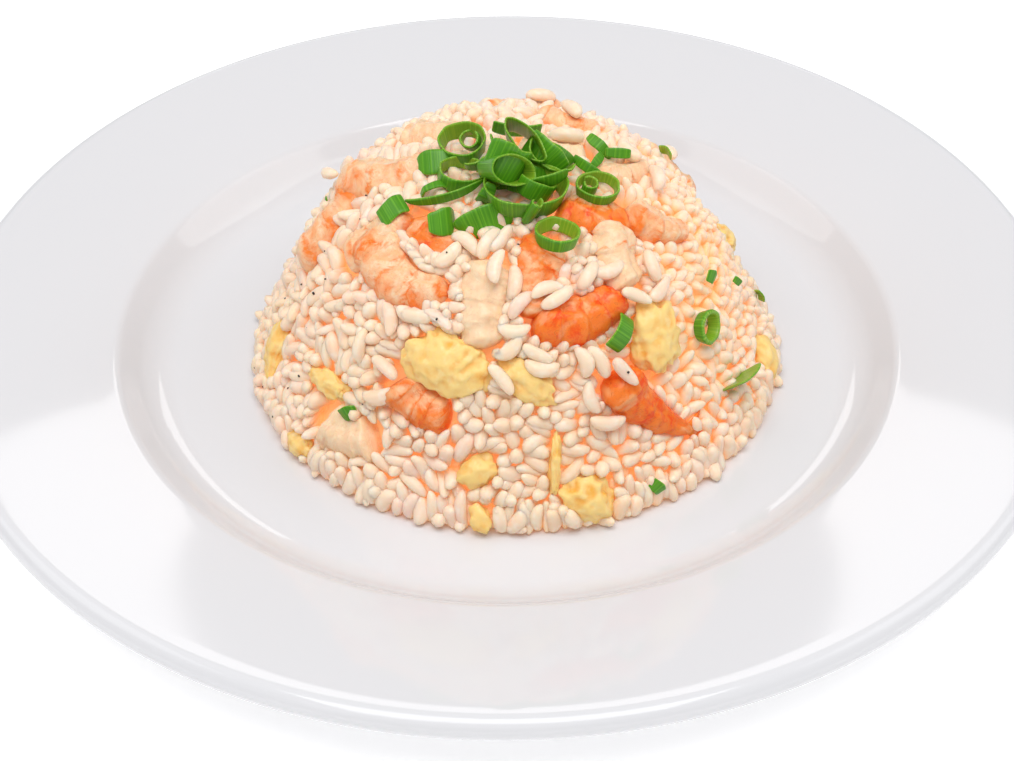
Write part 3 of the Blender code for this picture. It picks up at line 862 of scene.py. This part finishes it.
# ---- operators ----------------------------------------------------------------------
class RICE_OT_plate(bpy.types.Operator):
    """Turn the plate with its rolled lip, sloping rim, well and foot"""

    bl_idname = "rice.plate"
    bl_label = "Plate"

    def execute(self, context):
        tilt = 14
        lip_z = PLATE_H - LIP_R
        lip = arc(PLATE_R - LIP_R, lip_z, LIP_R, tilt - 90, tilt + 90, 20)
        edge = arc(PLATE_R - 38.4 * MM, lip_z - 11 * MM, 5 * MM, 90 + tilt, 135, 10)
        fillet = arc(PLATE_R - 55.2 * MM, FLOOR_Z + 14 * MM, 14 * MM, -45, -90, 14)
        under = (edge[0][0] + 4.5 * MM * sin(radians(tilt)), edge[0][1] - 4.5 * MM * cos(radians(tilt)))
        foot = [(0, 1.8 * MM), (PLATE_R - 69 * MM, 1.8 * MM), (PLATE_R - 68.2 * MM, 0.4 * MM),
                (PLATE_R - 67.6 * MM, 0), (PLATE_R - 63.6 * MM, 0), (PLATE_R - 62.6 * MM, 0.5 * MM),
                (PLATE_R - 60.5 * MM, 1.8 * MM), (PLATE_R - 49.2 * MM, 3.4 * MM)]
        rim = between(lip[-1], edge[0], 12)
        wall = between(edge[-1], fillet[0], 4)
        floor = between(fillet[-1], (0, FLOOR_Z), 24)
        bm = turned(foot + [under] + lip + rim + edge + wall + fillet + floor + [(0, FLOOR_Z)], 240)
        add_piece("glazed_plate", mesh_of("glazed_plate", bm), [glaze_material()], ["plate"])
        return {"FINISHED"}


class RICE_OT_core(bpy.types.Operator):
    """Make the smaller, bumpy core that the grains lie on"""

    bl_idname = "rice.core"
    bl_label = "Core of the dome"

    def execute(self, context):
        profile = [(0, 0)] + [dome_profile(k / 40) for k in range(41)]
        bm = turned(profile, 96)
        for vert in bm.verts:
            point = vert.co + DOME_CENTRE
            index, azimuth = dome_index(point)
            inset = CORE_INSET + 0.8 * MM * noise.noise(vert.co / (3 * MM))
            inset += right_dent(vert.co.x, vert.co.z)
            if vert.co.z > 0:
                point -= dome_axes(azimuth, index)[2] * inset
                point.z = max(point.z, DOME_CENTRE.z + 0.1 * MM)
            elif vert.co.x or vert.co.y:
                point -= Vector((vert.co.x, vert.co.y, 0)).normalized() * inset
            vert.co = point
        add_piece("rice_core", mesh_of("rice_core", bm), [core_material()], ["rice_mound"])
        return {"FINISHED"}


class RICE_OT_grains(bpy.types.Operator):
    """Cover the dome with grains of rice that lie against each other"""

    bl_idname = "rice.grains"
    bl_label = "Grains"

    def execute(self, context):
        look = settings()
        rng = np.random.default_rng(12)
        bumps = shrimp_bumps() + egg_bumps()
        rounds = 60
        centres, axes, out, height, lengths, widths, kind = settle_grains(
            look.grain_count, look.grain_length, look.grain_width, look.shell, bumps, rng, rounds)
        centres, axes, out, height, lengths, widths, kind = add_laid_grains(
            look, rng, (centres, axes, out, height, lengths, widths, kind), bumps)
        material = rice_material()
        forms = (("slender", 1.0, 0.84, 0.35, 0.08, 2.7), ("plump", 1.0, 0.90, 0.20, 0.03, 3.2),
                 ("short", 1.0, 0.92, 0.0, 0.12, 2.7))
        tint = rng.uniform(0.2, 1.0, len(centres))
        for number, (name, width, thick, bend, taper, blunt) in enumerate(forms):
            mine = kind == number
            form = grain_form(width, thick, taper, blunt)
            for vert in form.verts:
                vert.co.y += bend * (4 * vert.co.x ** 2 - 0.4)
            scale = np.column_stack([lengths[mine], widths[mine]])
            frames = grain_frames(centres[mine], axes[mine], out[mine], scale,
                                  rng.uniform(0, 2 * pi, mine.sum()))
            mesh = array_mesh("grains_" + name, form, frames, {"tint": tint[mine]})
            mark_depth(mesh)
            add_piece("grains_" + name, mesh, [material], ["rice_mound"])
        scatter_pepper(centres, out, height, widths, rng)
        return {"FINISHED"}


def mark_depth(mesh):
    """Mark how deep each point lies under the dome's round outline, from 0 to 1; the rice material paints
    warm shade and a glow from it.
    """
    points = np.empty(len(mesh.vertices) * 3)
    mesh.vertices.foreach_get("co", points)
    points = points.reshape(-1, 3)
    height = np.concatenate([shell_state(block)[1] for block in np.array_split(points, 40)])
    layer = mesh.attributes.new("depth", "FLOAT", "POINT")
    layer.data.foreach_set("value", ((-height - 1.0 * MM) / (3.4 * MM)).clip(0, 1).astype(np.float32))


def rubs(point, radius, bumps):
    """Whether a ball at the point touches any of the bumps."""
    return any((point - Vector(bump[:3])).length < bump[3] + radius for bump in bumps)


def add_laid_grains(look, rng, grains, bumps):
    """Add the grains that lie on top of shrimps and egg, and a loose row at the base."""
    rows = []
    for azimuth, climb, turn in TOP_GRAINS:
        lift = 1.0 * MM
        frame_here = seat_on_dome(azimuth, climb, turn, lift)
        while rubs(frame_here.translation, look.grain_width * 0.36, bumps) and lift < 4 * MM:
            lift += 0.3 * MM
            frame_here = seat_on_dome(azimuth, climb, turn, lift)
        rows.append((frame_here.translation, frame_here.col[0].to_3d(), frame_here.col[2].to_3d()))
    for k in range(BASE_ROW):
        azimuth = 2 * pi * (k + rng.uniform(-0.4, 0.4)) / BASE_ROW
        away = Vector((sin(azimuth), -cos(azimuth), 0))
        point = DOME_CENTRE + away * (DOME_R + rng.uniform(-6.6, -3.8) * MM)
        point.z = DOME_CENTRE.z + look.grain_width * 0.42
        turn = azimuth + rng.normal(0, 0.8)
        rows.append((point, Vector((cos(turn), sin(turn), rng.uniform(-0.05, 0.12))), Vector((0, 0, 1))))
    count = len(rows)
    more = (np.array([row[0] for row in rows]), np.array([row[1] for row in rows]),
            np.array([row[2] for row in rows]), np.full(count, -1.0 * MM),
            look.grain_length * rng.uniform(0.9, 1.08, count),
            look.grain_width * rng.uniform(0.9, 1.08, count), rng.choice(2, size=count))
    joined = [np.concatenate(pair) for pair in zip(grains, more)]
    joined[1] /= np.linalg.norm(joined[1], axis=1, keepdims=True)
    return joined


def scatter_pepper(centres, out, height, widths, rng):
    """Specks of ground pepper on the outermost grains."""
    top = np.argsort(height)[-900:]
    chosen = rng.choice(top, size=PEPPER_SPECKS, replace=False)
    count = len(chosen)
    axes = rng.normal(size=(count, 3))
    axes /= np.linalg.norm(axes, axis=1, keepdims=True)
    size = rng.uniform(0.22, 0.5, count) * MM
    frames = grain_frames(centres[chosen] + out[chosen] * (widths[chosen] * 0.46)[:, None], axes,
                          out[chosen], np.column_stack([size, size * 0.7]), rng.uniform(0, pi, count))
    form = bmesh.new()
    bmesh.ops.create_icosphere(form, subdivisions=1, radius=1)
    mesh = array_mesh("pepper", form, frames, {"tint": rng.uniform(0, 1, count)})
    add_piece("pepper", mesh, [pepper_material()])


class RICE_OT_shrimps(bpy.types.Operator):
    """Model each shrimp where its solid lies"""

    bl_idname = "rice.shrimps"
    bl_label = "Shrimps"

    def execute(self, context):
        material = shrimp_material()
        for name, row in SHRIMPS.items():
            node = "shrimp_" + name
            mesh = shrimp_mesh(node + "_flesh", row, seat_at_node(node, row[0]), BLADES.get(name, ()))
            add_piece(node + "_flesh", mesh, [material], [node])
        return {"FINISHED"}


class RICE_OT_eggs(bpy.types.Operator):
    """Model each curd of scrambled egg where its solid lies"""

    bl_idname = "rice.eggs"
    bl_label = "Egg"

    def execute(self, context):
        material = egg_material()
        for name, row in EGGS.items():
            node = "egg_" + name
            mesh = egg_mesh(node + "_curd", row, seat_at_node(node, row[0]))
            add_piece(node + "_curd", mesh, [material], [node])
        return {"FINISHED"}


class RICE_OT_onion(bpy.types.Operator):
    """Make the heap of spring onion rings on top and the slices that lie apart"""

    bl_idname = "rice.onion"
    bl_label = "Spring onion"

    def execute(self, context):
        materials = leaf_materials()
        bm = bmesh.new()
        for spot, tilt, *shape in HEAP:
            turn = Euler([radians(a) for a in tilt]).to_matrix().to_4x4()
            place = Matrix.Translation(DOME_TOP + Vector(spot) * MM) @ turn
            leaf_slice(bm, place, *shape)
        heap = add_piece("onion_heap", mesh_of("onion_heap", bm), materials, ["scallion_heap"])
        finish_leaf(heap, 0.6 * MM)
        for name, (turn, roll, radius, sweep, width, flare) in ONION_SLICES.items():
            node = "scallion_" + name
            place = seat_at_node(node, turn) @ Matrix.Translation((0, 0, 1.1 * MM))
            place = place @ Matrix.Rotation(radians(roll), 4, "X")
            bm = bmesh.new()
            leaf_slice(bm, place, radius, 1.0, sweep, width, flare, 0.0, 0.0)
            thickness = 1.2 * MM if name == "ring_right" else 0.7 * MM
            piece = add_piece(node + "_leaf", mesh_of(node + "_leaf", bm), materials, [node])
            finish_leaf(piece, thickness)
        bm = bmesh.new()
        for azimuth, climb, turn, length, width in SNIPS:
            place = seat_on_dome(azimuth, climb, turn, 0.6 * MM, -80)
            leaf_slice(bm, place, 5.0, 1.0, degrees(length / 5.0), width, 0.1, 0.0, 0.2)
        snips = add_piece("onion_snips", mesh_of("onion_snips", bm), materials)
        finish_leaf(snips, 0.5 * MM)
        return {"FINISHED"}


class RICE_OT_stage(bpy.types.Operator):
    """Set the floor, the soft lights and the camera"""

    bl_idname = "rice.stage"
    bl_label = "Stage"

    def execute(self, context):
        bm = bmesh.new()
        bmesh.ops.create_grid(bm, x_segments=2, y_segments=2, size=4.0)
        floor = bpy.data.objects.new("floor", mesh_of("floor", bm))
        context.scene.collection.objects.link(floor)
        s = Shader("white_floor", roughness=0.9)
        s.set(base_color=(0.9, 0.9, 0.9), emission_color=(1, 1, 1), emission_strength=0.35)
        floor.data.materials.append(s.material)
        world = bpy.data.worlds.new("studio")
        context.scene.world = world
        world.use_nodes = True
        world.node_tree.nodes["Background"].inputs["Color"].default_value = (0.99, 0.985, 1.0, 1)
        world.node_tree.nodes["Background"].inputs["Strength"].default_value = 0.33
        area_light("back_softbox", 0, 30.6, 2.6, (1.1, 0.36), 3.0)
        area_light("overhead", 180, 74, 1.2, (0.9, 0.8), 9.5)
        area_light("left_fill", -80, 45, 1.3, (0.8, 0.8), 2.4)
        area_light("right_fill", 80, 45, 1.3, (0.8, 0.8), 2.8)
        area_light("front_fill", 192, 42, 1.4, (1.0, 0.8), 1.0)
        context.scene.view_settings.view_transform = "Standard"
        camera = bpy.data.cameras.new("camera")
        camera.sensor_width = 36
        camera.lens = 64.8
        camera.clip_start = 0.01
        obj = bpy.data.objects.new("camera", camera)
        context.scene.collection.objects.link(obj)
        obj.location = (0, -CAMERA_DISTANCE * cos(CAMERA_RISE),
                        -0.0070 + CAMERA_DISTANCE * sin(CAMERA_RISE))
        aim = Matrix.Rotation(pi / 2 - CAMERA_RISE, 3, "X") @ Matrix.Rotation(radians(-0.5), 3, "Z")
        obj.rotation_euler = aim.to_euler()
        context.scene.camera = obj
        return {"FINISHED"}


def area_light(name, azimuth, rise, distance, size, power):
    """A softbox aimed at the dish; azimuth 0 is behind it (+Y), 90 is at its right."""
    light = bpy.data.lights.new(name, "AREA")
    light.shape = "RECTANGLE"
    light.size, light.size_y = size
    light.energy = power
    obj = bpy.data.objects.new(name, light)
    bpy.context.scene.collection.objects.link(obj)
    azimuth, rise = radians(azimuth), radians(rise)
    place = Vector((sin(azimuth) * cos(rise), cos(azimuth) * cos(rise), sin(rise))) * distance
    obj.location = place
    obj.rotation_euler = place.to_track_quat("Z", "Y").to_euler()


class RICE_PT_panel(bpy.types.Panel):
    """The dish's sizes, colours and pieces"""

    bl_label = "Shrimp Fried Rice"
    bl_idname = "RICE_PT_panel"
    bl_space_type = "VIEW_3D"
    bl_region_type = "UI"
    bl_category = "Rice"

    def draw(self, context):
        layout = self.layout
        for key in RiceSettings.__annotations__:
            layout.prop(context.scene.rice_settings, key)
        for operator in OPERATORS:
            layout.operator(operator.bl_idname)


OPERATORS = (RICE_OT_plate, RICE_OT_core, RICE_OT_grains, RICE_OT_shrimps, RICE_OT_eggs,
             RICE_OT_onion, RICE_OT_stage)
CLASSES = (RiceSettings, *OPERATORS, RICE_PT_panel)


def register():
    for cls in CLASSES:
        bpy.utils.register_class(cls)
    bpy.types.Scene.rice_settings = PointerProperty(type=RiceSettings)


def unregister():
    del bpy.types.Scene.rice_settings
    for cls in reversed(CLASSES):
        bpy.utils.unregister_class(cls)


def main():
    register()
    bpy.ops.rice.plate()
    bpy.ops.rice.core()
    bpy.ops.rice.shrimps()
    bpy.ops.rice.eggs()
    bpy.ops.rice.onion()
    bpy.ops.rice.grains()
    bpy.ops.rice.stage()


if __name__ == "__main__":
    main()
